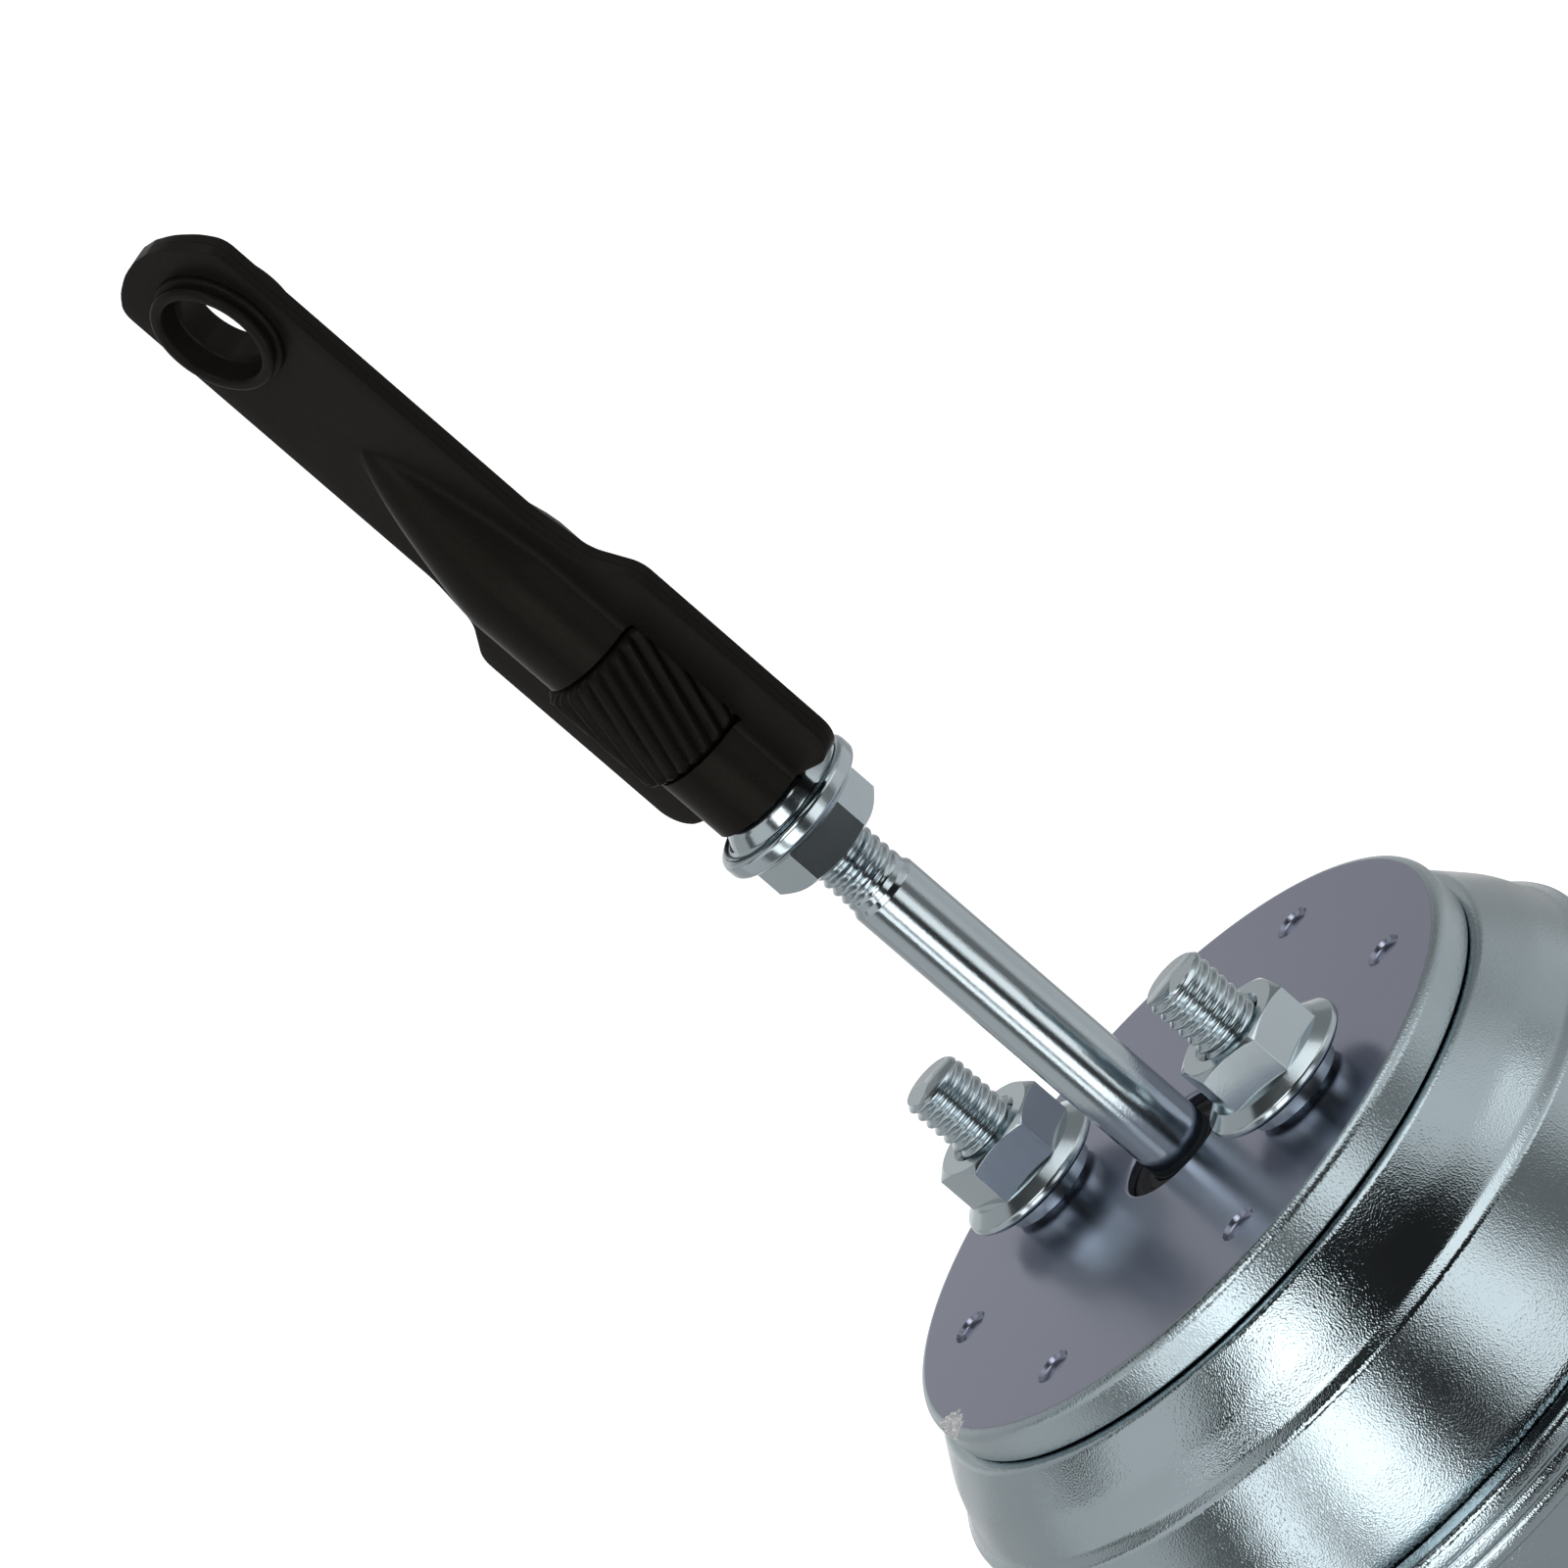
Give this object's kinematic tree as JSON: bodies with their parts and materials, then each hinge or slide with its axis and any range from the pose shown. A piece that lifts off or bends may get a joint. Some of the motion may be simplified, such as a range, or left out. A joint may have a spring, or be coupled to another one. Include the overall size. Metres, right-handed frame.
{
  "type": "wastegate actuator",
  "caption": "Diaphragm canister with a mounting plate and studs, a sprung push rod, and a pressed black rod end with a knurled adjuster and an eye.",
  "frame": {"origin": "middle of the canister's flat bottom face", "axes": "+Z along the rod, towards the eye; -Y is the front of the rod end; the studs lie on the X axis"},
  "size_m": [0.0915, 0.0804, 0.1608],
  "materials": {
    "zinc_steel": "bright zinc plate over drawn steel, fine orange-peel grain, satin gloss",
    "zinc_fastener": "bright zinc plate on threads and hexagons",
    "rod_steel": "polished plated rod with fine lines along it",
    "black_coating": "satin black coating over pressed steel",
    "seal_rubber": "matte black rubber",
    "bush_bronze": "sintered bronze",
    "spring_steel": "oil-tempered spring wire",
    "inner_steel": "plain pressed steel"
  },
  "bodies": {
    "canister": {"lower_can": "zinc_steel", "upper_can": "zinc_steel", "mounting_plate": "zinc_steel", "stud_left": "zinc_fastener", "stud_right": "zinc_fastener", "flange_nut_left": "zinc_fastener", "flange_nut_right": "zinc_fastener", "guide_bush": "bush_bronze", "rod_seal": "seal_rubber", "spring_seat": "inner_steel", "return_spring": "spring_steel", "diaphragm": "seal_rubber", "hose_nipple": "zinc_fastener"},
    "rod": {"actuator_rod": "rod_steel", "piston_cup": "inner_steel", "diaphragm_retainer": "inner_steel", "piston_nut": "zinc_fastener", "jam_nut": "zinc_fastener"},
    "rod_end": {"rod_end_front_half": "black_coating", "rod_end_rear_half": "black_coating", "eye_bush": "black_coating"},
    "adjuster": {"adjuster_nut": "black_coating"}
  },
  "joints": [
    {"name": "rod_slide", "type": "slide", "parent": "canister", "child": "rod", "axis": [0, 0, 1], "range_m": [0, 0.012], "stiffness_N_per_m": 4000, "springref_m": -0.005, "deforming": ["return_spring", "diaphragm"]},
    {"name": "rod_end_adjust", "type": "slide", "parent": "rod", "child": "rod_end", "axis": [0, 0, 1], "range_m": [0, 0.006]},
    {"name": "adjuster_turn", "type": "hinge", "parent": "rod_end", "child": "adjuster", "pos_m": [0, 0, 0.10675], "axis": [0, 0, 1], "range_deg": [0, 2160]}
  ],
  "couplings": [
    {"joint": "adjuster_turn", "follows": "rod_end_adjust", "rad_per_m": 6283.2}
  ]
}
